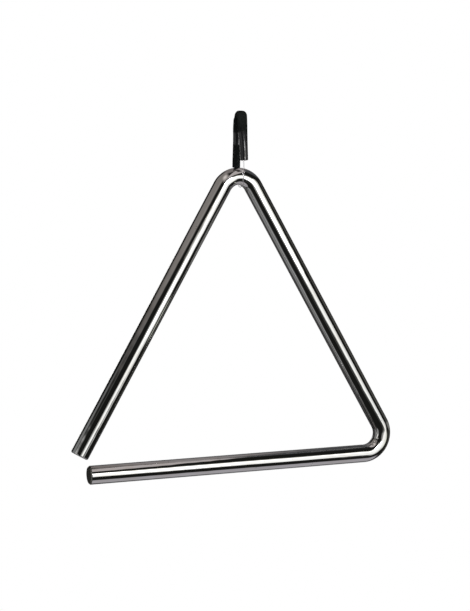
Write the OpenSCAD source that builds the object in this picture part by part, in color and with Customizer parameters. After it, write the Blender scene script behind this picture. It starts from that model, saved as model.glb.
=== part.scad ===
// A musical triangle on its holder loop.
// The rod is one length of plated steel, bent twice and left open at its third corner.
// A short vinyl tube, folded over, carries a loop of clear line, and the line passes under the rod's crown.
// Millimetres, +Z up. The origin is the crotch of the folded tube, where a hook or a finger holds it.
// X runs along the base towards its bent corner, and Y is square to the triangle, with the front at -Y.

/* [Steel rod] */
// Diameter of the rod
rod_d = 8; // [6:0.5:9]
// Length of each side, between the sharp corners of the rod's centreline
side_l = 154; // [120:1:220]
// Radius of the bend at the crown, at the rod's centreline
crown_bend_r = 8.3; // [8:0.1:14]
// Radius of the bend at the closed corner, at the rod's centreline
corner_bend_r = 9; // [8:0.1:14]
// How far the leaning bar is cut back from the side of the base bar
leaning_cut_back = 2.9; // [2:0.1:8]
// How far the base bar is cut back from the side of the leaning bar
base_cut_back = 2.1; // [2:0.1:8]
// Chamfer round the cut ends
end_chamfer = 0.5; // [0.2:0.1:1]
// How much slimmer the rod is through each bend, pinched between the former and its shoe
bend_pinch = 0.04; // [0.03:0.01:0.1]
// Depth of the flat that the bending former presses into the inside of the crown's bend
crown_press = 0.4; // [0.1:0.1:0.8]
// Depth of the flat that it presses into the inside of the closed corner
corner_press = 0.2; // [0.1:0.1:0.8]

/* [Holder tube] */
// Outer diameter of the vinyl tube
tube_d = 3.4; // [3.2:0.1:4.4]
// Wall of the tube
tube_wall = 0.4; // [0.3:0.05:0.4]
// Width of the tube where it is folded flat
fold_w = 4.6; // [4.4:0.1:7]
// Thickness of the tube where it is folded flat
fold_t = 1.4; // [1.4:0.1:2]
// Radius inside the fold, where the holder hangs
fold_inner_r = 1.1; // [0.8:0.1:2]
// Length over which each leg goes from flat back to round
flat_l = 6; // [4:0.5:9]
// How much further each leg splays outwards than the line inside it, in degrees
leg_splay_angle = 2.1; // [1.7:0.1:2.5]
// Height from the top of the rod, under the loop, up to the crotch of the fold
hang_h = 23; // [21:0.1:30]
// Height of the front leg's mouth over the top of the rod
front_mouth_h = 3.2; // [3:0.1:6]
// Height of the back leg's mouth over the top of the rod
back_mouth_h = 0.1; // [0.1:0.1:6]

/* [Clear line] */
// Diameter of the nylon line
line_d = 0.5; // [0.3:0.05:0.5]
// Running gap between the line and the rod that it carries
line_gap = 0.1; // [0.08:0.01:0.2]
// How far the loop sits off the crown's middle, towards the closed bar, over the triangle's balance point
loop_offset = 1.25; // [0:0.05:1.5]
// Wraps in the knot inside the front leg
knot_wraps = 4; // [2:1:5]
// Depth of the knot below the fold's centre
knot_drop = 12; // [11:0.5:13]
// How far the wraps of the knot bed into the line and into each other
knot_bite = 0.06; // [0.04:0.01:0.1]
// Length of each cut tail beyond the knot
tail_l = 1.2; // [0.8:0.1:2]

/* [Hidden] */
$fn = 64;
// Angle between two sides, and how far each bend turns the rod
corner_angle = 60;
bend_turn_angle = 180 - corner_angle;
// How far a bore's cutting shape runs past the mouth that it opens
overrun = 0.2;
// How far half of a symmetrical arc is drawn past the middle plane that trims it, in degrees
past_middle_angle = 4;
// How far the arc of a bend runs on inside the bars, in degrees
bend_run_on_angle = 2;
// From a leg or a strand, standing straight, to the top of the arc that it runs into
quarter_angle = 90;

rod_r = rod_d / 2;
// From each sharp corner of the centreline to the start of its bend, and to the bend's centre
crown_start = crown_bend_r / tan(corner_angle / 2);
crown_centre_d = crown_bend_r / sin(corner_angle / 2);
corner_start = corner_bend_r / tan(corner_angle / 2);
corner_centre_d = corner_bend_r / sin(corner_angle / 2);
// At the open corner the rod's own radius has to clear the side of the other bar
end_clear = rod_r / tan(corner_angle / 2);
leaning_l = side_l - crown_start - end_clear - leaning_cut_back;
closed_l = side_l - crown_start - corner_start;
base_l = side_l - corner_start - end_clear - base_cut_back;

// Heights on the Z axis, where the loop hangs, and from there to the crown's bend
fold_z = -fold_inner_r;
crown_z = -hang_h - rod_r;
loop_turn_angle = asin(loop_offset / crown_bend_r);
crown_centre_z = crown_z - crown_bend_r * cos(loop_turn_angle);
apex_x = -loop_offset;
apex_z = crown_centre_z + crown_centre_d;
base_z = apex_z - side_l * sin(corner_angle);
// Centre of the bend at the closed corner
corner_centre_x = apex_x + side_l / 2 - corner_centre_d * cos(corner_angle / 2);
corner_centre_z = base_z + corner_bend_r;
// The leaning bar's cut end, measured down the bar from the sharp corner over the crown
leaning_end_d = crown_start + leaning_l;
leaning_end_x = apex_x - leaning_end_d * sin(corner_angle / 2);
leaning_end_z = apex_z - leaning_end_d * cos(corner_angle / 2);

// Radius of the fold along the middle of the flattened tube
fold_r = fold_inner_r + fold_t / 2;

// The line is a belt round the fold and round the rod
line_r = line_d / 2;
wrap_r = rod_r + line_gap + line_r;
belt_h = fold_z - crown_z;
belt_lean_angle = asin((wrap_r - fold_r) / belt_h);
belt_l = belt_h * cos(belt_lean_angle);

// The legs of the tube follow the line
tube_r = tube_d / 2;
leg_lean_angle = belt_lean_angle + leg_splay_angle;
front_leg_l = leg_length(front_mouth_h);
back_leg_l = leg_length(back_mouth_h);
knot_pitch = line_d - knot_bite;
// Longer than the whole holder, for the block that trims its halves
holder_reach = hang_h + rod_d + fold_w;

// Length of a leg whose mouth, at its axis, stands this high over the top of the rod
function leg_length(mouth_h) =
    (fold_z + fold_r * sin(leg_lean_angle) - (crown_z + rod_r + mouth_h)) / cos(leg_lean_angle);

// A straight bar up +Z, with its chamfers as lengths, zero where it runs on into a bend
module bar(length, first_chamfer, last_chamfer) {
    rotate_extrude()
        polygon([
            [0, 0],
            [rod_r - first_chamfer, 0],
            [rod_r, first_chamfer],
            [rod_r, length - last_chamfer],
            [rod_r - last_chamfer, length],
            [0, length]
        ]);
}

// A bar, and at its end what comes next on the rod
module bar_then(length, first_chamfer = 0, last_chamfer = 0) {
    bar(length, first_chamfer, last_chamfer);
    translate([0, 0, length]) children();
}

// A bend from +Z towards +X, and at its end what comes next on the rod. It is a little slimmer than
// the bars, and its arc runs on inside both of them.
module bend_then(bend_r) {
    translate([bend_r, 0, 0])
        mirror([1, 0, 0])
            rotate([90, 0, 0])
                rotate([0, 0, -bend_run_on_angle])
                    rotate_extrude(angle = bend_turn_angle + 2 * bend_run_on_angle)
                        translate([bend_r, 0])
                            circle(r = rod_r - bend_pinch);
    translate([bend_r, 0, 0])
        rotate([0, bend_turn_angle, 0])
            translate([-bend_r, 0, 0])
                children();
}

// The round former that the rod was bent about, sunk a little into the inside of the bend
module former(centre_x, centre_z, bend_r, depth) {
    translate([centre_x, 0, centre_z])
        rotate([90, 0, 0])
            cylinder(h = rod_d, r = bend_r - rod_r + depth, center = true);
}

module triangle_rod() {
    color("silver")
        difference() {
            translate([leaning_end_x, 0, leaning_end_z])
                rotate([0, corner_angle / 2, 0])
                    bar_then(leaning_l, first_chamfer = end_chamfer)
                        bend_then(crown_bend_r)
                            bar_then(closed_l)
                                bend_then(corner_bend_r)
                                    bar_then(base_l, last_chamfer = end_chamfer);
            former(apex_x, crown_centre_z, crown_bend_r, crown_press);
            former(corner_centre_x, corner_centre_z, corner_bend_r, corner_press);
        }
}

// An arc of the child's profile about the X axis, from -Y upwards. The profile's X is its radial side.
module arc_over(radius, turn_angle) {
    rotate([90, 0, -90])
        rotate_extrude(angle = turn_angle)
            translate([radius, 0])
                children();
}

// What lies in front of the middle plane, so that two halves meet face to face
module front_of_middle() {
    intersection() {
        children();
        translate([-holder_reach, -2 * holder_reach, -holder_reach])
            cube(2 * holder_reach);
    }
}

// Half of the folded tube: half of the flat fold, and a leg that goes from flat to round. The leg is a
// cone cut by a wedge at its top and a plain cylinder below. The inset is the wall, for the bore.
module half_tube_form(leg_l, inset) {
    flat_r = fold_w / 2 - inset;
    flat_half = fold_t / 2 - inset;
    round_r = tube_r - inset;
    past_mouth = inset > 0 ? overrun : 0;
    rotate([-leg_lean_angle, 0, 0]) {
        arc_over(fold_r, quarter_angle - leg_lean_angle + past_middle_angle)
            intersection() {
                circle(r = flat_r);
                square([2 * flat_half, fold_w], center = true);
            }
        translate([0, -fold_r, 0]) {
            intersection() {
                translate([0, 0, -flat_l])
                    cylinder(h = flat_l, r1 = round_r, r2 = flat_r);
                rotate([90, 0, 90])
                    linear_extrude(height = fold_w, center = true)
                        polygon([
                            [-flat_half, 0],
                            [flat_half, 0],
                            [round_r, -flat_l],
                            [-round_r, -flat_l]
                        ]);
            }
            translate([0, 0, -leg_l - past_mouth])
                cylinder(h = leg_l - flat_l + past_mouth, r = round_r);
        }
    }
}

module half_tube(leg_l) {
    front_of_middle()
        difference() {
            half_tube_form(leg_l, 0);
            half_tube_form(leg_l, tube_wall);
        }
}

module holder_tube() {
    color("black")
        translate([0, 0, fold_z]) {
            half_tube(front_leg_l);
            mirror([0, 1, 0]) half_tube(back_leg_l);
        }
}

// Half of the line: half of its turn over the fold, one strand, and half of its turn under the rod
module half_line() {
    front_of_middle()
        rotate([-belt_lean_angle, 0, 0]) {
            arc_over(fold_r, quarter_angle - belt_lean_angle + past_middle_angle) circle(r = line_r);
            translate([0, -fold_r, -belt_l]) cylinder(h = belt_l, r = line_r);
            translate([0, wrap_r - fold_r, -belt_l])
                mirror([0, 0, 1])
                    arc_over(wrap_r, quarter_angle + belt_lean_angle + past_middle_angle)
                        circle(r = line_r);
        }
}

// The barrel knot that closes the loop, round the front strand, with its two cut tails beside it
module knot() {
    knot_h = (knot_wraps - 1) * knot_pitch;
    rotate([-belt_lean_angle, 0, 0])
        translate([0, -fold_r, -knot_drop]) {
            for (i = [0:knot_wraps - 1])
                translate([0, 0, i * knot_pitch])
                    rotate_extrude()
                        translate([knot_pitch, 0])
                            circle(r = line_r);
            translate([knot_pitch, 0, knot_h]) cylinder(h = tail_l, r = line_r);
            translate([-knot_pitch, 0, -tail_l]) cylinder(h = tail_l, r = line_r);
        }
}

module nylon_line() {
    color("lightcyan")
        translate([0, 0, fold_z]) {
            half_line();
            mirror([0, 1, 0]) half_line();
            knot();
        }
}

triangle_rod();
holder_tube();
nylon_line();
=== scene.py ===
# %% [markdown]
# # A triangle on its holder loop
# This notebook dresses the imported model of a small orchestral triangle. The frame comes first: it is the
# exact part, with its bodies and joints, and every piece made here has to sit where that part sits.
# Three pieces are made: the bent chrome rod, the folded vinyl tube and the loop of clear line.

# %% Load the frame
import math

import bpy
import numpy as np
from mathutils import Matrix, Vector


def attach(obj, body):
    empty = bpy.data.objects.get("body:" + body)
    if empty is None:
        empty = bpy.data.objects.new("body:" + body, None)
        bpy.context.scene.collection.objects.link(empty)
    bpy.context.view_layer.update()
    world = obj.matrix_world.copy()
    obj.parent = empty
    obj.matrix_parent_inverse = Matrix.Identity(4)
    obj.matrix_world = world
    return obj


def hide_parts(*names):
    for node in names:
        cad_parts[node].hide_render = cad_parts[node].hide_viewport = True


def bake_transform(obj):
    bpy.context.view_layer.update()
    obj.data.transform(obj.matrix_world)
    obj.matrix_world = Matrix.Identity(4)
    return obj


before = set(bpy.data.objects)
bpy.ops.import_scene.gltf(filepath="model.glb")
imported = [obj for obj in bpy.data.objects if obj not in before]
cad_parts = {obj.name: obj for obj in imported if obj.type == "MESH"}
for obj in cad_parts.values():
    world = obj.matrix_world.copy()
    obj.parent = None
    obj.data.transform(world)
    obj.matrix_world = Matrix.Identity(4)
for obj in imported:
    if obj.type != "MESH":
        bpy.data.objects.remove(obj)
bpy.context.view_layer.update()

# %% [markdown]
# ## The camera
# The photograph was solved for its view before anything was modelled. The camera stands to the left of the
# triangle and looks down on it a little, through a long lens. It is set first, because every later choice is
# judged through it. The picture's long side is its height, so the sensor size belongs to the height.

# %% Place the camera
MM = 0.001
MICRON = 1e-6

camera_data = bpy.data.cameras.new("camera")
camera_data.sensor_width = 36
camera_data.lens = 88.38
camera = bpy.data.objects.new("camera", camera_data)
camera.location = (-245.94 * MM, -600.26 * MM, -25.01 * MM)
camera.rotation_euler = [math.radians(a) for a in (84.926, 0.106, -22.0756)]
bpy.context.scene.collection.objects.link(camera)
bpy.context.scene.camera = camera
print("camera at", [round(v, 3) for v in camera.location], "lens", camera_data.lens)

# %% [markdown]
# ## Sizes
# These are the sizes that the part was built from, in metres. The rod's centreline is a chain: a leaning bar,
# the crown's bend, the closed bar, the corner's bend and the base bar. Each step along it is kept as a heading
# and a length, so that the mesh, the pattern on it and the marks in its bends all read the same chain.

# %% The rod's chain
ROD_R = 4 * MM
CROWN_BEND_R = 8.3 * MM
CORNER_BEND_R = 9 * MM
SIDE = 154 * MM
HANG = 23 * MM
LOOP_OFFSET = 1.25 * MM
LEANING_CUT_BACK = 2.9 * MM
BASE_CUT_BACK = 2.1 * MM
TURN = math.radians(120)
UP = Vector((0, 0, 1))
SQUARE = Vector((0, 1, 0))
TAN_30 = math.tan(math.radians(30))

crown_start = CROWN_BEND_R / TAN_30
corner_start = CORNER_BEND_R / TAN_30
end_clear = ROD_R / TAN_30
leaning_l = SIDE - crown_start - end_clear - LEANING_CUT_BACK
closed_l = SIDE - crown_start - corner_start
base_l = SIDE - corner_start - end_clear - BASE_CUT_BACK

lean_way = Vector((0.5, 0, math.cos(math.radians(30))))
close_way = Vector((0.5, 0, -math.cos(math.radians(30))))
base_way = Vector((-1, 0, 0))

crown_z = -HANG - ROD_R
crown_centre = Vector((-LOOP_OFFSET, 0, crown_z - math.sqrt(CROWN_BEND_R**2 - LOOP_OFFSET**2)))
apex = crown_centre + UP * CROWN_BEND_R * 2
corner = apex + SIDE * close_way
corner_centre = Vector((corner.x - corner_start, 0, corner.z + CORNER_BEND_R))
leaning_end = apex - lean_way * (crown_start + leaning_l)
base_end = corner + base_way * (corner_start + base_l)
print("bars", [round(v / MM, 2) for v in (leaning_l, closed_l, base_l)], "mm")
print("crown centre", crown_centre, "corner centre", corner_centre)

# %% [markdown]
# ## Small helpers
# Operators act on whatever is selected, and the frame leaves its own nodes selected. So each step starts by
# selecting one object alone, and inside edit mode only the points that pass a test of place.

# %% Selecting by place
def only(obj):
    """Leaves edit mode, if it is on, and selects obj alone."""
    if bpy.context.object and bpy.context.object.mode != "OBJECT":
        bpy.ops.object.mode_set(mode="OBJECT")
    bpy.ops.object.select_all(action="DESELECT")
    obj.select_set(True)
    bpy.context.view_layer.objects.active = obj


def edit(obj, action="DESELECT"):
    """Opens obj in edit mode with none of its points selected, or all of them if the action is SELECT."""
    only(obj)
    bpy.ops.object.mode_set(mode="EDIT")
    bpy.ops.mesh.select_mode(type="VERT")
    bpy.ops.mesh.select_all(action=action)


def pick(obj, test):
    """Selects the points of obj, in edit mode, whose place passes the test."""
    bpy.ops.mesh.select_all(action="DESELECT")
    bpy.ops.object.mode_set(mode="OBJECT")
    for v in obj.data.vertices:
        v.select = bool(test(v.co))
    bpy.ops.object.mode_set(mode="EDIT")


def done(obj, name):
    """Leaves edit mode, names the piece and puts its place in its mesh."""
    bpy.ops.object.mode_set(mode="OBJECT")
    obj.name = obj.data.name = name
    bpy.ops.object.transform_apply(location=True, rotation=True, scale=True)
    print(name, len(obj.data.vertices), "points", len(obj.data.polygons), "faces")


# %% [markdown]
# Every piece here is a round section that follows a course. So each starts as one bare circle, square to its
# course, and grows by extruding or spinning it.

# %% A circle to start from, and a push
def ring(radius, around, place, way, name):
    """A bare circle, square to the way that it will be pushed along."""
    bpy.ops.object.select_all(action="DESELECT")
    bpy.ops.mesh.primitive_circle_add(
        vertices=around, radius=radius, location=place, rotation=way.to_track_quat("Z", "Y").to_euler()
    )
    obj = bpy.context.object
    bpy.ops.object.transform_apply(location=True, rotation=True, scale=True)
    obj.name = name
    return obj


def push(way, length):
    """Extrudes what is selected."""
    bpy.ops.mesh.extrude_region_move(TRANSFORM_OT_translate={"value": way * length})


# %% [markdown]
# ## The rod
# The real rod is one length of round steel, bent twice round a steel former. It is modelled in the order that
# it was made. A circle at the cut end of the leaning bar is extruded up the bar, spun round the centre of the
# crown's bend, extruded down the closed bar, spun round the corner and extruded along the base. A curve with a
# bevel would be quicker, but the spin keeps each bend a true arc with even rings. A short first and last step puts
# a ring close to each cut end, which holds the shading there.

# %% Extrude and spin the rod
ROD_ROUND = 128
BAR_STEPS = 12
BEND_STEPS = 96
HOLD = 0.6 * MM

rod = ring(ROD_R, ROD_ROUND, leaning_end, lean_way, "rod")
edit(rod, "SELECT")
push(lean_way, HOLD)
for way, length, centre in (
    (lean_way, leaning_l - HOLD, crown_centre),
    (close_way, closed_l, corner_centre),
    (base_way, base_l - HOLD, None),
):
    for _ in range(BAR_STEPS):
        push(way, length / BAR_STEPS)
    if centre:
        bpy.ops.mesh.spin(steps=BEND_STEPS, angle=TURN, center=centre, axis=-SQUARE)
push(base_way, HOLD)
bpy.ops.mesh.select_all(action="SELECT")
bpy.ops.mesh.remove_doubles(threshold=MICRON)
bpy.ops.object.mode_set(mode="OBJECT")
last = rod.data.vertices[-1].co
print("rod ends at x", round(last.x / MM, 2), "z", round(last.z / MM, 2), "mm")

# %% [markdown]
# The two cut ends are closed with a face each and given a small chamfer, as a lathe or a file leaves it. The
# bevel works on the rim edges alone, so they are picked by their distance from the end's centre. Each end also
# says how much of the saw's dark, dull finish its chamfer has: none on the leaning bar, and most on the base,
# where that dark is partly painted shade.

# %% Close and chamfer the ends
CHAMFER = 0.5 * MM
FACE_INSET = 0.3 * MM
RIM_REACH = ROD_R * 1.001
# Each end: its centre, its way into the rod, and its chamfer's share of the dark saw finish, which on the base is
# partly painted shade.
ENDS = ((leaning_end, lean_way, 0.0), (base_end, -base_way, 0.8))
edit(rod)
for end, way, _ in ENDS:
    pick(rod, lambda co: (co - end).length < RIM_REACH)
    bpy.ops.mesh.edge_face_add()
for end, way, _ in ENDS:
    pick(rod, lambda co: (co - end).length < RIM_REACH)
    bpy.ops.mesh.bevel(offset=CHAMFER, segments=1, affect="EDGES")
for end, way, _ in ENDS:
    pick(rod, lambda co: abs((co - end).dot(way)) < MICRON and (co - end).length < ROD_R)
    bpy.ops.mesh.inset(thickness=FACE_INSET, depth=0)
bpy.ops.mesh.select_all(action="SELECT")
bpy.ops.mesh.normals_make_consistent(inside=False)
done(rod, "rod")

# %% [markdown]
# Through its bends the rod is pinched a touch slimmer between the former and its shoe. Each ring of a bend is
# drawn in towards the centreline. It eases in over 45 degrees from each end of the bend, because a sudden step
# would break the long reflections.

# %% Pinch the bends
PINCH = 0.07 * MM
PINCH_EASE = math.radians(45)
BEND_REACH = 1.1 * ROD_R
outwards = (corner - corner_centre).normalized()
BENDS = ((crown_centre, CROWN_BEND_R, UP), (corner_centre, CORNER_BEND_R, outwards))


def smooth(t):
    """Goes from 0 to 1 as t does, and leaves and arrives gently."""
    t = max(0.0, min(1.0, t))
    return t * t * (3 - 2 * t)


def in_bend(co, bend):
    """The turn from the bend's middle and the spoke from the bend's axis, or None outside the bend."""
    centre, bend_r, middle = bend
    spoke = Vector((co.x - centre.x, 0, co.z - centre.z))
    turn = spoke.angle(middle) if spoke.length > MICRON / 1000 else math.pi
    if turn > TURN / 2 or spoke.length > bend_r + BEND_REACH:
        return None
    return (turn if spoke.cross(middle).y < 0 else -turn), spoke


moved = 0
for v in rod.data.vertices:
    for bend in BENDS:
        found = in_bend(v.co, bend)
        if found:
            turn, spoke = found
            centre, bend_r, _ = bend
            ease = smooth((TURN / 2 - abs(turn)) / PINCH_EASE)
            on_line = centre + spoke.normalized() * bend_r
            v.co += (on_line - v.co).normalized() * PINCH * ease
            moved += 1
print("pinched", moved, "points")

# %% [markdown]
# The former leaves its mark as a shallow flat on the inside of each bend. A cylinder cuts it with a Boolean,
# which keeps the crisp edge that catches the light in the photograph. At the crown the cylinder is a little
# smaller than the bend and sits nearer the rod, because the flat is deepest in the middle and runs out. The
# chamfers are then shaded as worn shoulders: their edges lose the sharp mark that keeps the former's flats crisp.

# %% Press the former into the bends
FORMER_ROUND = 360
CROWN_FORMER = (crown_centre + UP * 0.62 * MM, 4.35 * MM)
CORNER_FORMER = (corner_centre, CORNER_BEND_R - ROD_R + 0.2 * MM)
CRISP_ANGLE = math.radians(18)
SHOULDER_L = HOLD * 0.95
SHOULDER_R = ROD_R * 1.1


def press(centre, radius):
    """Cuts the rod with a cylinder that lies square to the triangle."""
    bpy.ops.object.select_all(action="DESELECT")
    bpy.ops.mesh.primitive_cylinder_add(
        vertices=FORMER_ROUND, radius=radius, depth=4 * ROD_R, location=centre, rotation=(math.pi / 2, 0, 0)
    )
    former = bpy.context.object
    cut = rod.modifiers.new("former", "BOOLEAN")
    cut.operation = "DIFFERENCE"
    cut.object = former
    cut.solver = "EXACT"
    only(rod)
    bpy.ops.object.modifier_apply(modifier=cut.name)
    bpy.data.objects.remove(former, do_unlink=True)


press(*CROWN_FORMER)
press(*CORNER_FORMER)
only(rod)
bpy.ops.object.shade_smooth_by_angle(angle=CRISP_ANGLE)
edit(rod)
for end, way, _ in ENDS:
    pick(rod, lambda co: abs((co - end).dot(way)) < SHOULDER_L and (co - end).length < SHOULDER_R)
    bpy.ops.mesh.mark_sharp(clear=True)
bpy.ops.object.mode_set(mode="OBJECT")
print("rod", len(rod.data.vertices), "points after pressing")

# %% [markdown]
# The drawing lines and scratches follow the rod round its bends, so they need to know where each point was
# while the rod was still straight. That place is stored on the mesh as an attribute called unbent: across the
# rod, square to the triangle, and the distance along the rod from the leaning end. A pattern by plain place would
# be simpler, but it would run straight on where the rod bends.

# %% Unbend every point
crown_from = leaning_l
closed_from = crown_from + CROWN_BEND_R * TURN
corner_from = closed_from + closed_l
base_from = corner_from + CORNER_BEND_R * TURN
BARS = (
    (leaning_end, lean_way, leaning_l, 0),
    (apex + close_way * crown_start, close_way, closed_l, closed_from),
    (corner + base_way * corner_start, base_way, base_l, base_from),
)


def unbend(co):
    """Where a point of the bent rod was while the rod was straight."""
    for bend, start in zip(BENDS, (crown_from, corner_from)):
        found = in_bend(co, bend)
        if found:
            turn, spoke = found
            return spoke.length - bend[1], co.y, start + bend[1] * (TURN / 2 + turn)
    best = None
    for start, way, length, before in BARS:
        along = (co - start).dot(way)
        off = (co - start - way * along).length + max(0, -along, along - length)
        if best is None or off < best[0]:
            out = (co - start - way * along).dot(way.cross(SQUARE))
            best = (off, (out, co.y, before + along))
    return best[1]


points = [v.co.copy() for v in rod.data.vertices]
unbent = rod.data.attributes.new("unbent", "FLOAT_VECTOR", "POINT")
places = np.array([unbend(co) for co in points], np.float32)
unbent.data.foreach_set("vector", places.ravel())
print("unbent length", round(float(places[:, 2].max()) / MM, 1), "mm")

# %% [markdown]
# Two more attributes say where the former pressed and where the saw cut, because both leave a finish of their
# own; on the base end's chamfer the saw's dark finish is partly painted shade. They could be painted by hand,
# but the sizes already tell where both tools touched the rod.

# %% Mark what the former and the saw touched
NEAR = 0.02 * MM


def mark(obj, name, values, domain="POINT"):
    """Stores one number for each point or face, for a material to read."""
    values = np.array(values, np.float32)
    obj.data.attributes.new(name, "FLOAT", domain).data.foreach_set("value", values)
    print(name, "on", int(np.sum(values > 0.5)), domain.lower() + "s")


def pressed_at(co):
    """1 where a former touched the rod."""
    for centre, radius in (CROWN_FORMER, CORNER_FORMER):
        if math.hypot(co.x - centre.x, co.z - centre.z) < radius + NEAR:
            return 1.0
    return 0.0


def sawn_at(co):
    """1 on a cut face, and the end's own share on its chamfer, which on the base end is partly painted shade."""
    for end, way, chamfer_saw_and_shade in ENDS:
        depth = (co - end).dot(way)
        if depth < CHAMFER * 0.9 and (co - end).length < ROD_R:
            return 1.0 if depth < NEAR else chamfer_saw_and_shade
    return 0.0


mark(rod, "pressed", [pressed_at(co) for co in points])
mark(rod, "sawn_and_shade", [sawn_at(face.center) for face in rod.data.polygons], "FACE")

# %% [markdown]
# ## The folded tube
# The holder is a short piece of soft black tube, folded in the middle. It is flat at the fold and goes back to
# round along each leg. A circle is extruded ring by ring, and each ring is then set to its place, lean, width
# and thickness. The front leg is cut shorter than the back one.

# %% The tube's sizes and lean
LINE_R = 0.25 * MM
WRAP_R = ROD_R + 0.1 * MM + LINE_R
TUBE_R = 1.7 * MM
TUBE_WALL = 0.4 * MM
FOLD_HALF_W = 2.34 * MM
FOLD_HALF_T = 0.7 * MM
FOLD_R = 1.8 * MM
FOLD_Z = -1.1 * MM
LEG_SPLAY = math.radians(2.1)
FRONT_MOUTH_BELOW = 19.8 * MM
BACK_MOUTH_BELOW = 22.9 * MM

belt_h = FOLD_Z - crown_z
belt_lean = math.asin((WRAP_R - FOLD_R) / belt_h)
LEAN = belt_lean + LEG_SPLAY
leg_top = FOLD_Z + FOLD_R * math.sin(LEAN)
front_leg_l = (leg_top + FRONT_MOUTH_BELOW) / math.cos(LEAN)
back_leg_l = (leg_top + BACK_MOUTH_BELOW) / math.cos(LEAN)
arc_l = FOLD_R * (math.pi - 2 * LEAN)
tube_l = front_leg_l + arc_l + back_leg_l
print("legs lean", round(math.degrees(LEAN), 2), "degrees; tube length", round(tube_l / MM, 1), "mm")

# %% [markdown]
# Soft tube doesn't hang dead straight. Under the fold the legs stay together for a little, and then they bow
# outwards before the weight on the line draws them straight. The bow is a table of distance down the leg and
# offset, in millimetres, eased from one row to the next. The front leg is side -1 and the back leg side 1.

# %% The tube's course
BOW = {
    -1: ((0, 0), (4, 0.02), (13.5, 0.28), (19.2, -0.02)),
    1: ((0, 0), (2, -0.04), (6, 0.34), (13, 0.48), (18.5, 0.28), (22.4, -0.03)),
}
SLOPE_STEP = 0.2 * MM


def bow(side, down):
    """How far a leg's centre lies outside the straight leg."""
    rows, down = BOW[side], down / MM
    for (a, p), (b, q) in zip(rows, rows[1:]):
        if down <= b:
            return (p + (q - p) * smooth((down - a) / (b - a))) * MM
    return rows[-1][1] * MM


def tube_course(s):
    """Centre and heading at the distance s from the front mouth."""
    for side, down in ((-1, front_leg_l - s), (1, s - front_leg_l - arc_l)):
        if down > 0:
            start = Vector((0, side * FOLD_R * math.cos(LEAN), FOLD_R * math.sin(LEAN)))
            away = Vector((0, side * math.sin(LEAN), -math.cos(LEAN)))
            out = Vector((0, side * math.cos(LEAN), math.sin(LEAN)))
            slope = (bow(side, down + SLOPE_STEP) - bow(side, down)) / SLOPE_STEP
            way = (away + out * slope).normalized() * side
            return start + away * down + out * bow(side, down), way
    turn = LEAN + (s - front_leg_l) / FOLD_R
    spoke = Vector((0, -math.cos(turn), math.sin(turn)))
    return spoke * FOLD_R, Vector((0, spoke.z, -spoke.y))


for mouth in (0, tube_l):
    print("mouth at", [round(v / MM, 2) for v in tube_course(mouth)[0] + UP * FOLD_Z], "mm")

# %% [markdown]
# Where the flattened fold springs open into the round leg, vinyl buckles into a small pointed dent. Two
# straight creases meet in it, so the wall is pushed in along a V that has its foot near the leg's middle, and the
# V's arms fade out to each side. For each leg the table gives the V's middle across it, its foot down it and its
# depth. A texture could fake the dent, but its creases have to catch the light as the real ones do.

# %% The buckled dents
CREASE = {-1: (-0.8 * MM, 6.4 * MM, 0.17 * MM), 1: (0.3 * MM, 6.8 * MM, 0.15 * MM)}
CREASE_SLANT = 1.3
CREASE_W = 0.4 * MM
CREASE_FADE = 0.8 * MM
CREASE_REACH = 1.6


def dent(side, x, down):
    """How deep the buckled crease goes at a place on a leg's outer face."""
    middle, foot, deep = CREASE[side]
    arm = foot - abs(x - middle) * CREASE_SLANT
    near = math.exp(-(((down - arm) / CREASE_W) ** 2))
    return deep * near * smooth(CREASE_REACH - abs(x - middle) / CREASE_FADE)


print("dents", [round(deep / MM, 2) for _, _, deep in CREASE.values()], "mm deep")

# %% [markdown]
# The tube starts as a straight stack of rings. Where each point is now, before the fold, is stored on the mesh,
# so that the extruder's lines can follow the tube later.

# %% Extrude the tube
TUBE_ROUND = 96
TUBE_STEPS = 190

tube = ring(TUBE_R, TUBE_ROUND, Vector((0, 0, 0)), UP, "tube")
edit(tube, "SELECT")
for _ in range(TUBE_STEPS):
    push(UP, tube_l / TUBE_STEPS)
bpy.ops.object.mode_set(mode="OBJECT")
unfolded = tube.data.attributes.new("unfolded", "FLOAT_VECTOR", "POINT")
unfolded.data.foreach_set("vector", np.array([v.co for v in tube.data.vertices], np.float32).ravel())
print("tube", len(tube.data.vertices), "points before the fold")

# %% [markdown]
# Each point is then moved to its ring's place on the course. The tube is widest, flattest and most square in
# section at the fold, with a slight waist right over it, and its left side is slimmer there. A lattice could bend
# a plain tube too, but moving the points by rule keeps every width and thickness a named size. The stretched skin
# at the fold is dull, and so is the lower part of the back leg; both are also darker, as painted shade at the
# fold. The buckled crease is marked too, for painted shade. Both masks are stored for the vinyl to read.

# %% Shape the tube
WIDE_L = 15 * MM
BOXY_L = 8.5 * MM
BOXY_POWER = 0.35
FOLD_WAIST = 0.4 * MM
SLIM = 0.45 * MM
SLIM_L = 1.9 * MM
DULL_L = 7.1 * MM
DULL_FADE = 0.5 * MM
SCUFFED_FROM = 12.3 * MM
CREASE_SHADE_FULL_DEPTH = 0.2 * MM

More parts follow.
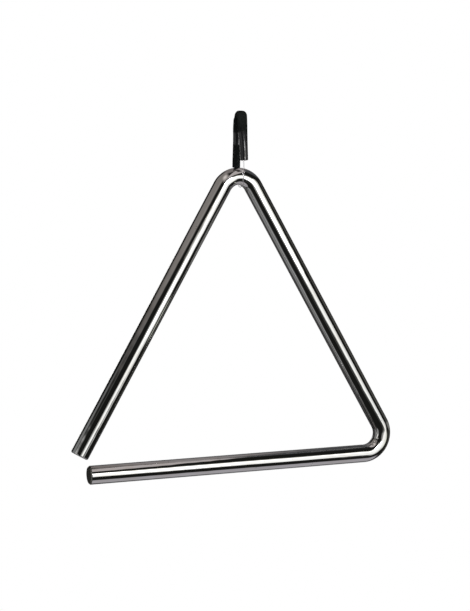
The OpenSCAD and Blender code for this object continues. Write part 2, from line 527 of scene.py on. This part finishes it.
dull_and_shade, crease_shade = [], []
for v in tube.data.vertices:
    s = v.co.z
    side, down = (-1, front_leg_l - s) if s < tube_l / 2 else (1, s - front_leg_l - arc_l)
    centre, way = tube_course(s)
    wide, boxy = 1 - smooth(down / WIDE_L), 1 - smooth(down / BOXY_L)
    across, thick = v.co.x / TUBE_R, v.co.y / TUBE_R
    half_w = TUBE_R + (FOLD_HALF_W - TUBE_R) * wide
    over = math.sin(max(0.0, min(1.0, (s - front_leg_l) / arc_l)) * math.pi)
    half_w -= FOLD_WAIST * over**2
    half_t = TUBE_R + (FOLD_HALF_T - TUBE_R) * boxy
    power = 1 - BOXY_POWER * boxy
    if across < 0:
        slim = smooth(2 * (s - front_leg_l) / arc_l)
        if side > 0:
            slim *= 1 - smooth(max(down, 0) / SLIM_L)
        half_w -= SLIM * slim
    x = math.copysign(abs(across) ** power, across) * half_w
    y = math.copysign(abs(thick) ** power, thick) * half_t
    push_in = dent(side, x, down) if thick < 0 and down > 0 else 0
    outward = Vector((0, -way.z, way.y))
    v.co = centre + Vector((x, 0, 0)) - outward * (y + push_in) + UP * FOLD_Z
    # The back leg is dull, and darker in colour, from 12.3 mm down the leg to its mouth.
    scuffed = smooth((down - SCUFFED_FROM) / DULL_FADE + 0.5) if side > 0 else 0
    dull_and_shade.append(max(scuffed, 1 - smooth((down - DULL_L) / DULL_FADE + 0.5)))
    # The crease mask also darkens the vinyl's colour, as painted shade.
    crease_shade.append(min(1, push_in / CREASE_SHADE_FULL_DEPTH))
mark(tube, "dull_and_shade", dull_and_shade)
mark(tube, "crease_shade", crease_shade)
done(tube, "tube")

# %% [markdown]
# Solidify gives the tube its wall, on the inside, so that both mouths show a real bore. The rims stay sharp, as
# a blade leaves them, so only the edges under 40 degrees are shaded smooth.

# %% Give the tube its wall
RIM_ANGLE = math.radians(40)

edit(tube, "SELECT")
bpy.ops.mesh.normals_make_consistent(inside=False)
bpy.ops.object.mode_set(mode="OBJECT")
wall = tube.modifiers.new("wall", "SOLIDIFY")
wall.thickness = TUBE_WALL
wall.offset = -1
only(tube)
bpy.ops.object.modifier_apply(modifier=wall.name)
bpy.ops.object.shade_smooth_by_angle(angle=RIM_ANGLE)
print("tube", len(tube.data.vertices), "points with its wall")

# %% [markdown]
# ## The clear line
# The line is a belt: over the inside of the fold, down through both legs and under the rod. It is pushed and
# spun from one small circle, as the rod was, and its two ends are merged where they meet.

# %% Spin the line round the rod and the fold
LINE_ROUND = 16
STRAND_STEPS = 40
FOLD_STEPS = 24
WRAP_STEPS = 48

belt_l = belt_h * math.cos(belt_lean)
ACROSS = Vector((1, 0, 0))
crown = Vector((0, 0, crown_z))
fold_centre = Vector((0, 0, FOLD_Z))
front_out = Vector((0, -math.cos(belt_lean), math.sin(belt_lean)))
strand_way = Vector((0, math.sin(belt_lean), math.cos(belt_lean)))

line = ring(LINE_R, LINE_ROUND, crown + front_out * WRAP_R, strand_way, "line")
edit(line, "SELECT")
for _ in range(STRAND_STEPS):
    push(strand_way, belt_l / STRAND_STEPS)
bpy.ops.mesh.spin(steps=FOLD_STEPS, angle=math.pi - 2 * belt_lean, center=fold_centre, axis=ACROSS)
back_way = Vector((0, math.sin(belt_lean), -math.cos(belt_lean)))
for _ in range(STRAND_STEPS):
    push(back_way, belt_l / STRAND_STEPS)
bpy.ops.mesh.spin(steps=WRAP_STEPS, angle=math.pi + 2 * belt_lean, center=crown, axis=ACROSS)
bpy.ops.mesh.select_all(action="SELECT")
bpy.ops.mesh.remove_doubles(threshold=NEAR)
bpy.ops.mesh.normals_make_consistent(inside=False)
done(line, "line")
bpy.ops.object.shade_smooth()
print("line box", [round(v / MM, 2) for v in line.dimensions])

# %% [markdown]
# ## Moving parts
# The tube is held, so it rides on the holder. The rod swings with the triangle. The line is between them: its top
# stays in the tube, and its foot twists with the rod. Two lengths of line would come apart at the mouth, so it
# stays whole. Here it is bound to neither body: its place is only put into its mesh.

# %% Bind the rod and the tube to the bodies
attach(rod, "triangle")
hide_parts("triangle_rod")
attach(tube, "holder")
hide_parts("holder_tube")
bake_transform(line)
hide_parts("nylon_line")
print("bound", [obj.name for obj in (rod, tube, line)])

# %% [markdown]
# ## Finishes
# Three finishes are made: drawn and plated steel, soft vinyl and clear nylon. Effects that more than one of
# them shows are node groups, built once: streaks that run along a piece, a mottle of handling, and fine dust.
# Each group reads a place, which the material takes from the piece's own attribute, so the pattern follows
# every bend.

# %% Node helpers
def add(nodes, kind, **settings):
    """Adds a shader node. Plain settings are set on it, and those named after a socket on the socket."""
    node = nodes.new(kind)
    for key, value in settings.items():
        if hasattr(node, key):
            setattr(node, key, value)
        else:
            node.inputs[key.replace("_", " ")].default_value = value
    return node


def math_node(nodes, links, operation, *values):
    node = add(nodes, "ShaderNodeMath", operation=operation)
    for socket, value in zip(node.inputs, values):
        if hasattr(value, "links"):
            links.new(value, socket)
        else:
            socket.default_value = value
    return node.outputs[0]


def effect(name, inputs, outputs):
    """An empty node group with its sockets, and its two ends."""
    tree = bpy.data.node_groups.new(name, "ShaderNodeTree")
    for label, kind, value in inputs:
        made = tree.interface.new_socket(label, in_out="INPUT", socket_type=kind)
        if value is not None:
            made.default_value = value
    for label in outputs:
        tree.interface.new_socket(label, in_out="OUTPUT", socket_type="NodeSocketFloat")
    return tree, tree.nodes, tree.links, tree.nodes.new("NodeGroupInput"), tree.nodes.new("NodeGroupOutput")


# %% [markdown]
# Streaks are a noise that is squeezed across the piece and drawn out along it. On the rod they are the lines of
# the die that drew it, and on the tube the faint lines of the extruder.

# %% Streaks along a piece
streaks, nodes, links, start, end = effect(
    "streaks",
    (("Place", "NodeSocketVector", None), ("Across", "NodeSocketFloat", 1.0), ("Along", "NodeSocketFloat", 1.0)),
    ("Height", "Line"),
)
stretch = add(nodes, "ShaderNodeCombineXYZ")
for socket, source in zip(stretch.inputs, ("Across", "Across", "Along")):
    links.new(start.outputs[source], socket)
scaled = add(nodes, "ShaderNodeVectorMath", operation="MULTIPLY")
links.new(start.outputs["Place"], scaled.inputs[0])
links.new(stretch.outputs[0], scaled.inputs[1])
noise = add(nodes, "ShaderNodeTexNoise", Scale=1.0, Detail=5.0, Roughness=0.65)
links.new(scaled.outputs[0], noise.inputs["Vector"])
thin = add(nodes, "ShaderNodeMapRange", From_Min=0.56, From_Max=0.74)
links.new(noise.outputs[0], thin.inputs["Value"])
links.new(noise.outputs[0], end.inputs["Height"])
links.new(thin.outputs[0], end.inputs["Line"])
print(streaks.name, len(streaks.nodes), "nodes")

# %% [markdown]
# Handling leaves a slow mottle, where fingers and polish left a film. Dust is a sparse scatter of specks: the
# middles of a few Voronoi cells, chosen by the colour that the texture gives each cell.

# %% Handling and dust
handling, nodes, links, start, end = effect(
    "handling", (("Place", "NodeSocketVector", None), ("Size", "NodeSocketFloat", 200.0)), ("Film",)
)
cloud = add(nodes, "ShaderNodeTexNoise", Detail=4.0, Roughness=0.6, Distortion=0.4)
film = add(nodes, "ShaderNodeMapRange", interpolation_type="SMOOTHSTEP", From_Min=0.42, From_Max=0.68)
links.new(start.outputs["Place"], cloud.inputs["Vector"])
links.new(start.outputs["Size"], cloud.inputs["Scale"])
links.new(cloud.outputs[0], film.inputs["Value"])
links.new(film.outputs[0], end.inputs["Film"])

dust, nodes, links, start, end = effect(
    "dust",
    (("Place", "NodeSocketVector", None), ("Size", "NodeSocketFloat", 900.0), ("Share", "NodeSocketFloat", 0.1)),
    ("Speck",),
)
cells = add(nodes, "ShaderNodeTexVoronoi")
links.new(start.outputs["Place"], cells.inputs["Vector"])
links.new(start.outputs["Size"], cells.inputs["Scale"])
chance = add(nodes, "ShaderNodeSeparateColor")
links.new(cells.outputs["Color"], chance.inputs[0])
chosen = math_node(nodes, links, "LESS_THAN", chance.outputs[0], start.outputs["Share"])
near = add(nodes, "ShaderNodeMapRange", From_Min=0.28, From_Max=0.14)
links.new(cells.outputs["Distance"], near.inputs["Value"])
links.new(math_node(nodes, links, "MULTIPLY", chosen, near.outputs[0]), end.inputs["Speck"])
print("effects", [group.name for group in bpy.data.node_groups])

# %% [markdown]
# Each material starts from the Principled shader. These helpers read an attribute of the piece, place one of
# the effects, blend two colours by a mask and lay one bump over another.

# %% Material helpers
def material(name):
    made = bpy.data.materials.new(name)
    made.use_nodes = True
    nodes = made.node_tree.nodes
    return made, nodes, made.node_tree.links, nodes["Principled BSDF"]


def read(nodes, name, output="Fac"):
    """An attribute that was stored on the piece."""
    return add(nodes, "ShaderNodeAttribute", attribute_name=name).outputs[output]


def place_effect(nodes, links, tree, place, **values):
    """One of the effects in this material, with its values set."""
    node = nodes.new("ShaderNodeGroup")
    node.node_tree = tree
    links.new(place, node.inputs["Place"])
    for key, value in values.items():
        node.inputs[key].default_value = value
    return node


def blend_colour(nodes, links, mask, a, b):
    """A colour between two, by a mask. Each of the two is a colour or another node's output."""
    node = add(nodes, "ShaderNodeMix", data_type="RGBA")
    links.new(mask, node.inputs["Factor"])
    for socket, value in ((node.inputs[6], a), (node.inputs[7], b)):
        if hasattr(value, "links"):
            links.new(value, socket)
        else:
            socket.default_value = (*value, 1)
    return node.outputs[2]


def bump(nodes, links, height, depth, below=None):
    """A bump of a real depth, over the one below it."""
    node = add(nodes, "ShaderNodeBump", Strength=1.0, Distance=depth)
    links.new(height, node.inputs["Height"])
    if below:
        links.new(below, node.inputs["Normal"])
    return node.outputs[0]


def wear(obj, made):
    obj.data.materials.clear()
    obj.data.materials.append(made)


# %% [markdown]
# ## Plated steel
# Bright plating over drawn rod is a mirror that isn't quite clean. Two sizes of streak run along it, a slow
# waviness bends the edges of what it reflects, and a film of handling dulls it here and there. Inside the bends
# the former left a harder, scuffed flat, and the sawn ends are dark and rough.

# %% Chrome
chrome, nodes, links, shader = material("chrome_plate")
shader.inputs["Metallic"].default_value = 1
along_rod = read(nodes, "unbent", "Vector")
pressed, sawn_and_shade = read(nodes, "pressed"), read(nodes, "sawn_and_shade")
fine = place_effect(nodes, links, streaks, along_rod, Across=2600, Along=28)
broad = place_effect(nodes, links, streaks, along_rod, Across=700, Along=9)
film = place_effect(nodes, links, handling, along_rod, Size=130).outputs["Film"]
specks = place_effect(nodes, links, dust, along_rod, Size=1100, Share=0.05).outputs["Speck"]

steel = blend_colour(nodes, links, fine.outputs["Line"], (0.63, 0.63, 0.635), (0.53, 0.53, 0.53))
steel = blend_colour(nodes, links, film, steel, (0.6, 0.59, 0.58))
steel = blend_colour(nodes, links, specks, steel, (0.3, 0.29, 0.27))
print(chrome.name, len(nodes), "nodes for its colour")

# %% [markdown]
# The scuffs are a fine noise that shows only where the former pressed. The sawn ends have no shine: they are dark,
# with the wavy lines of the blade. Both could be masked by place in the material, but the marks that were stored
# on the mesh follow its own edges exactly.

# %% The former's scuffs and the saw's lines
scuff = add(nodes, "ShaderNodeTexNoise", Scale=1500, Detail=4.0, Roughness=0.7, Distortion=1.2)
links.new(along_rod, scuff.inputs["Vector"])
scuffed = math_node(nodes, links, "MULTIPLY", pressed, scuff.outputs[0])
steel = blend_colour(nodes, links, scuffed, steel, (0.42, 0.41, 0.42))
sides = add(nodes, "ShaderNodeTexCoord").outputs["Object"]
saw = add(nodes, "ShaderNodeTexWave", Scale=1100, Distortion=6.0, Detail=2.0, Detail_Scale=1.5, bands_direction="Z")
links.new(sides, saw.inputs["Vector"])
bare = blend_colour(nodes, links, saw.outputs["Fac"], (0.115, 0.113, 0.093), (0.17, 0.166, 0.14))
# The dark saw finish on the cut faces; on the base end's chamfer this dark is partly painted shade.
steel = blend_colour(nodes, links, sawn_and_shade, steel, bare)
links.new(steel, shader.inputs["Base Color"])
print(chrome.name, len(nodes), "nodes with its marks")

# %% [markdown]
# Each of these marks also roughens the plating or lifts it a little. The bumps lie one on another, first the slow
# waviness that bends a reflection and then the lines of the drawing, and their depths are in real size.

# %% How rough and how wavy the plating is
rough = math_node(nodes, links, "MULTIPLY_ADD", fine.outputs["Line"], 0.06, 0.02)
rough = math_node(nodes, links, "MULTIPLY_ADD", film, 0.03, rough)
rough = math_node(nodes, links, "MULTIPLY_ADD", scuffed, 0.16, rough)
rough = math_node(nodes, links, "MULTIPLY_ADD", sawn_and_shade, 0.3, rough)
links.new(rough, shader.inputs["Roughness"])

wavy = add(nodes, "ShaderNodeTexNoise", Scale=62, Detail=2.0, Roughness=0.5)
links.new(along_rod, wavy.inputs["Vector"])
normal = bump(nodes, links, wavy.outputs[0], 0.25 * MM)
normal = bump(nodes, links, broad.outputs["Height"], 0.007 * MM, normal)
normal = bump(nodes, links, fine.outputs["Height"], 0.002 * MM, normal)
normal = bump(nodes, links, scuffed, 0.02 * MM, normal)
normal = bump(nodes, links, math_node(nodes, links, "MULTIPLY", sawn_and_shade, saw.outputs["Fac"]), 0.02 * MM, normal)
links.new(normal, shader.inputs["Normal"])
wear(rod, chrome)
print(chrome.name, len(nodes), "nodes in all")

# %% [markdown]
# ## Soft vinyl
# The tube is glossy where it is round. Where it is folded flat the skin is stretched and dull, and its black is
# darker there as painted shade. In the crease it is duller still, with a darker painted shade. Extrusion lines run
# along it, with a little dust.

# %% Vinyl
vinyl, nodes, links, shader = material("black_vinyl")
along_tube = read(nodes, "unfolded", "Vector")
dull_and_shade, crease_shade = read(nodes, "dull_and_shade"), read(nodes, "crease_shade")
drawn = place_effect(nodes, links, streaks, along_tube, Across=2200, Along=160)
film = place_effect(nodes, links, handling, along_tube, Size=420).outputs["Film"]
specks = place_effect(nodes, links, dust, along_tube, Size=1500, Share=0.06).outputs["Speck"]
black = blend_colour(nodes, links, drawn.outputs["Line"], (0.0075, 0.0075, 0.009), (0.013, 0.013, 0.014))
# Painted shade: a darker black on the dull flat at the fold. The back leg's lower part takes the same darker black.
black = blend_colour(nodes, links, dull_and_shade, black, (0.004, 0.0055, 0.005))
# Painted shade: a still darker black in the buckled crease.
black = blend_colour(nodes, links, crease_shade, black, (0.003, 0.003, 0.003))
black = blend_colour(nodes, links, specks, black, (0.05, 0.048, 0.045))
links.new(black, shader.inputs["Base Color"])
rough = math_node(nodes, links, "MULTIPLY_ADD", film, 0.1, 0.4)
rough = math_node(nodes, links, "MULTIPLY_ADD", dull_and_shade, 0.3, rough)
links.new(rough, shader.inputs["Roughness"])
shader.inputs["Specular IOR Level"].default_value = 0.16
shader.inputs["Coat Roughness"].default_value = 0.09
gloss = math_node(nodes, links, "SUBTRACT", 1.0, dull_and_shade)
gloss = math_node(nodes, links, "MULTIPLY_ADD", film, -0.12, gloss)
gloss = math_node(nodes, links, "MULTIPLY_ADD", crease_shade, -0.6, gloss)
links.new(math_node(nodes, links, "MAXIMUM", gloss, 0.0), shader.inputs["Coat Weight"])
skin = add(nodes, "ShaderNodeTexNoise", Scale=1800, Detail=3.0)
links.new(along_tube, skin.inputs["Vector"])
normal = bump(nodes, links, skin.outputs[0], 0.006 * MM)
normal = bump(nodes, links, drawn.outputs["Height"], 0.004 * MM, normal)
links.new(normal, shader.inputs["Normal"])
wear(tube, vinyl)
print(vinyl.name, len(nodes), "nodes")

# %% [markdown]
# ## Clear nylon
# Nylon line is nearly colourless and not quite clear: it is faintly milky in patches, and its drawn skin scatters
# a little light. Its grey colour is painted shade, the darkness that a clear line shows where it bends in light
# from dark surroundings. It stays a plain transmitting surface, with the mottle in its colour, roughness and alpha.
# The alpha is low, because so thin a line is almost lost against a white ground.

# %% Nylon
nylon, nodes, links, shader = material("clear_nylon")
shader.inputs["Transmission Weight"].default_value = 1
shader.inputs["IOR"].default_value = 1.53
where = add(nodes, "ShaderNodeTexCoord").outputs["Object"]
film = place_effect(nodes, links, handling, where, Size=700).outputs["Film"]
skin = place_effect(nodes, links, streaks, where, Across=3000, Along=120)
# Painted shade: the grey stands for the dark edges that the line refracts from dark surroundings.
links.new(blend_colour(nodes, links, film, (0.42, 0.4, 0.42), (0.32, 0.3, 0.32)), shader.inputs["Base Color"])
links.new(math_node(nodes, links, "MULTIPLY_ADD", film, 0.1, 0.04), shader.inputs["Roughness"])
links.new(bump(nodes, links, skin.outputs["Height"], 0.01 * MM), shader.inputs["Normal"])
links.new(math_node(nodes, links, "MULTIPLY_ADD", film, 0.1, 0.36), shader.inputs["Alpha"])
wear(line, nylon)
print(nylon.name, len(nodes), "nodes")

# %% [markdown]
# ## The studio
# The background is plain white, in the world itself, for the camera and for what metal and glass show of it. The
# light that it gives is set apart from that, and lower, so that a colour renders about as it is written.

# %% White world
world = bpy.data.worlds.new("world")
bpy.context.scene.world = world
world.use_nodes = True
nodes, links = world.node_tree.nodes, world.node_tree.links
plain = nodes["Background"]
plain.inputs["Color"].default_value = (1, 1, 1, 1)
plain.inputs["Strength"].default_value = 0.7
white = add(nodes, "ShaderNodeBackground", Color=(1, 1, 1, 1), Strength=1.0)
ray = add(nodes, "ShaderNodeLightPath")
seen = math_node(nodes, links, "MAXIMUM", ray.outputs["Is Camera Ray"], ray.outputs["Is Glossy Ray"])
seen = math_node(nodes, links, "MAXIMUM", seen, ray.outputs["Is Transmission Ray"])
choose = add(nodes, "ShaderNodeMixShader")
links.new(seen, choose.inputs[0])
links.new(plain.outputs[0], choose.inputs[1])
links.new(white.outputs[0], choose.inputs[2])
links.new(choose.outputs[0], nodes["World Output"].inputs["Surface"])
print("world", plain.inputs["Strength"].default_value, "for lighting and 1 where it is seen")

# %% [markdown]
# Chrome photographed against plain white would show no shape, so studios hang black cloth round it, out of the
# picture, and bring soft lights and pale boards inside the cloth. The same is done here. The cloth is a large
# dark ball that only reflections see, so the light on everything else stays plain.

# %% Black cloth round the set
HUB = Vector((0, 0, -90 * MM))
CLOTH_R = 2.6


def only_reflected(obj):
    """Hides a stage piece from all but reflections."""
    obj.visible_camera = obj.visible_diffuse = obj.visible_transmission = obj.visible_shadow = False
    obj.visible_volume_scatter = False


bpy.ops.object.select_all(action="DESELECT")
bpy.ops.mesh.primitive_uv_sphere_add(segments=48, ring_count=24, radius=CLOTH_R, location=HUB)
cloth = bpy.context.object
cloth.name = "black_cloth"
made, nodes, links, shader = material("cloth_black")
nodes.remove(shader)
glow = add(nodes, "ShaderNodeEmission", Color=(0.0129, 0.0131, 0.0118, 1), Strength=1.0)
links.new(glow.outputs[0], nodes["Material Output"].inputs["Surface"])
wear(cloth, made)
only_reflected(cloth)
print(cloth.name, "radius", CLOTH_R, "m")

# %% [markdown]
# Each soft light and each pale board is one round-cornered card that glows most in its middle and fades to its
# rim. It adds its light to what is behind it, as an overlapping reflection does. An area lamp would be simpler,
# but its reflection has a hard edge, and it would light the rest of the set too.

# %% How a card glows
CARD_ROUNDING = 2.5


def card_glow(name, soft, glow, tint):
    """Light that is strongest in the card's middle and gone at its rim, over whatever lies behind."""
    made, nodes, links, shader = material(name)
    nodes.remove(shader)
    parts = add(nodes, "ShaderNodeSeparateXYZ")
    links.new(add(nodes, "ShaderNodeUVMap", uv_map="UVMap").outputs[0], parts.inputs[0])
    powers = []
    for axis in ("X", "Y"):
        away = math_node(nodes, links, "ABSOLUTE", parts.outputs[axis])
        powers.append(math_node(nodes, links, "POWER", away, CARD_ROUNDING))
    far = math_node(nodes, links, "POWER", math_node(nodes, links, "ADD", *powers), 1 / CARD_ROUNDING)
    fade = add(
        nodes, "ShaderNodeMapRange", interpolation_type="SMOOTHSTEP",
        From_Min=1.0, From_Max=1.0 - soft, To_Min=0.0, To_Max=glow,
    )
    links.new(far, fade.inputs["Value"])
    shine = add(nodes, "ShaderNodeEmission", Color=(*tint, 1))
    links.new(fade.outputs[0], shine.inputs["Strength"])
    through = add(nodes, "ShaderNodeBsdfTransparent")
    both = add(nodes, "ShaderNodeAddShader")
    links.new(shine.outputs[0], both.inputs[0])
    links.new(through.outputs[0], both.inputs[1])
    links.new(both.outputs[0], nodes["Material Output"].inputs["Surface"])
    return made


# %% [markdown]
# Every card faces one hub inside the triangle. Near boards change along the bars as you look from one end to the
# other, and far ones don't, so the distance of each card matters.

# %% Make a card
CARD_POINTS = 48
CARD_MARGIN = 1.02


def soft_card(name, azimuth, elevation, distance, width, height, roll, soft, glow, tint):
    """A card that faces the hub. Azimuth runs from +Y towards +X. Soft is the share of its half that fades."""
    a, e, r = (math.radians(v) for v in (azimuth, elevation, roll))
    way = Vector((math.sin(a) * math.cos(e), math.cos(a) * math.cos(e), math.sin(e)))
    right = way.cross(UP).normalized()
    top = right.cross(way)
    side, up = right * math.cos(r) + top * math.sin(r), top * math.cos(r) - right * math.sin(r)
    rim = []
    for i in range(CARD_POINTS):
        c, s = math.cos(math.tau * i / CARD_POINTS), math.sin(math.tau * i / CARD_POINTS)
        far = CARD_MARGIN / (abs(c) ** CARD_ROUNDING + abs(s) ** CARD_ROUNDING) ** (1 / CARD_ROUNDING)
        rim.append((c * far, s * far))
    points = [HUB + way * distance + side * (u * width / 2) + up * (v * height / 2) for u, v in rim]
    mesh = bpy.data.meshes.new(name)
    mesh.from_pydata(points, [], [range(CARD_POINTS)])
    uv = mesh.uv_layers.new(name="UVMap")
    for loop, place in zip(uv.data, rim):
        loop.uv = place
    obj = bpy.data.objects.new(name, mesh)
    bpy.context.scene.collection.objects.link(obj)
    wear(obj, card_glow(name, soft, glow, tint))
    only_reflected(obj)


# %% [markdown]
# The key is the large soft light in front, built from several cards because its edge isn't straight. Its two hot
# spots show only in the black vinyl, since the chrome is already white there. The boards and strips give the
# greys between, and one light behind gives the views from the back a highlight. Angles are in degrees, and sizes
# and distances in metres.

# %% Lights and boards round the triangle
# name, azimuth, elevation, distance, width, height, roll, soft share, glow, tint
CARDS = (
    ("key_lower", 172, -9, 0.76, 0.81, 0.29, 2, 0.13, 0.383, (1.01, 1.02, 0.97)),
    ("backdrop_middle", 20, -1, 0.26, 0.63, 0.25, 5, 0.81, 0.143, (1.01, 0.99, 0.99)),
    ("table_board", 117, -80, 0.60, 0.61, 1.05, 25, 0.27, 0.496, (1.01, 0.97, 1.02)),
    ("left_high_board", -85, 55, 1.09, 2.44, 1.15, 0, 0.42, 0.265, (1.08, 0.99, 0.93)),
    ("right_high_board", 45, 46, 0.28, 0.51, 0.20, 40, 0.14, 0.0781, (0.95, 0.98, 1.07)),
    ("left_board", -80, -14, 0.81, 1.21, 1.70, -26, 0.23, 0.257, (1.00, 1.01, 1.00)),
    ("backdrop_foot", 30, -39, 0.62, 0.83, 0.54, -60, 0.71, 0.181, (1.00, 0.98, 1.02)),
    ("key_light", 154, -5, 1.11, 1.12, 0.41, -6, 0.12, 1.09, (1.01, 1.01, 0.98)),
    ("front_high_light", -151, 57, 0.33, 0.14, 0.43, -40, 1.00, 0.696, (1.08, 0.99, 0.93)),
    ("right_board", 83, -6, 1.36, 2.16, 1.10, 72, 0.60, 0.0748, (1.04, 1.03, 0.93)),
    ("back_low_board", -32, -35, 0.41, 0.39, 0.33, 10, 0.24, 0.0599, (1.00, 0.99, 1.01)),
    ("key_middle", 163, 10, 0.60, 0.61, 0.35, -7, 0.76, 1.64, (1.02, 1.02, 0.96)),
    ("key_right_corner", 139, 15, 0.57, 0.18, 0.25, 58, 0.12, 0.944, (1.02, 1.03, 0.95)),
    ("back_high_board", 21, 66, 0.34, 0.30, 0.62, 1, 0.49, 0.225, (1.10, 0.97, 0.93)),
    ("front_top_board", 152, 65, 0.25, 0.10, 0.32, 49, 0.23, 0.577, (1.07, 0.98, 0.96)),
    ("key_upper", 164, 13, 0.51, 0.73, 0.09, 16, 0.75, 1.07, (1.04, 1.01, 0.95)),
    ("key_low_corner", 142, -17, 1.59, 0.6, 0.52, 0, 0.8, 1.1, (1.01, 1.01, 0.97)),
    ("left_near_board", -105, -4, 0.36, 0.16, 0.36, -14, 0.84, 1.04, (1.01, 1.01, 0.98)),
    ("right_low_strip", 118, -27, 0.19, 0.04, 0.05, -53, 0.58, 0.765, (1.03, 1.06, 0.91)),
    ("left_low_board", -98, -49, 0.51, 0.17, 0.54, 15, 0.84, 0.207, (0.99, 1.00, 1.01)),
    ("left_front_board", -107, 17, 0.78, 0.70, 0.18, 7, 0.42, 0.52, (1.01, 1.00, 0.98)),
    ("right_near_strip", 82, -14, 0.21, 0.23, 0.04, 5, 0.43, 0.164, (1.01, 1.02, 0.97)),
    ("low_front_strip", 168, -28, 0.23, 0.29, 0.04, 6, 1.00, 0.0781, (0.99, 1.02, 0.99)),
    ("left_top_board", -120, 33, 0.68, 0.20, 0.49, 10, 0.57, 0.0624, (1.00, 1.02, 0.98)),
    ("key_hot_high", 172, 16, 2.3, 0.72, 0.56, 0, 0.5, 15.0, (1.0, 1.0, 1.0)),
    ("key_hot_near", 165, -2.8, 0.385, 0.1, 0.075, 0, 0.45, 9.0, (1.0, 1.0, 1.0)),
    ("key_behind", -3, 2, 1.2, 0.42, 0.38, 0, 0.3, 1.8, (1.0, 1.0, 0.98)),
)
for card in CARDS:
    soft_card(*card)
print(len(CARDS), "cards")

# %% [markdown]
# A pale floor lies well below the triangle, and one soft lamp gives its shadow a direction. Neither shows in the
# chrome, which has its own cards.

# %% Floor and lamp
FLOOR_R, FLOOR_Z = 1.2, -0.6
LAMP_PLACE = (0.5, -0.9, 0.6)

bpy.ops.object.select_all(action="DESELECT")
bpy.ops.mesh.primitive_circle_add(vertices=96, radius=FLOOR_R, fill_type="NGON", location=(0, 0, FLOOR_Z))
floor = bpy.context.object
floor.name = "floor"
floor_paint, nodes, links, shader = material("floor_paint")
shader.inputs["Base Color"].default_value = (0.9, 0.9, 0.9, 1)
shader.inputs["Roughness"].default_value = 0.9
wear(floor, floor_paint)
floor.visible_glossy = False

lamp_data = bpy.data.lights.new("soft_lamp", "AREA")
lamp_data.size = 0.8
lamp_data.energy = 6
lamp = bpy.data.objects.new("soft_lamp", lamp_data)
lamp.location = LAMP_PLACE
lamp.rotation_euler = (HUB - lamp.location).to_track_quat("-Z", "Y").to_euler()
lamp.visible_glossy = False
bpy.context.scene.collection.objects.link(lamp)

bpy.context.scene.view_settings.view_transform = "Standard"
print("floor at", FLOOR_Z, "m and lamp of", lamp_data.energy, "W")
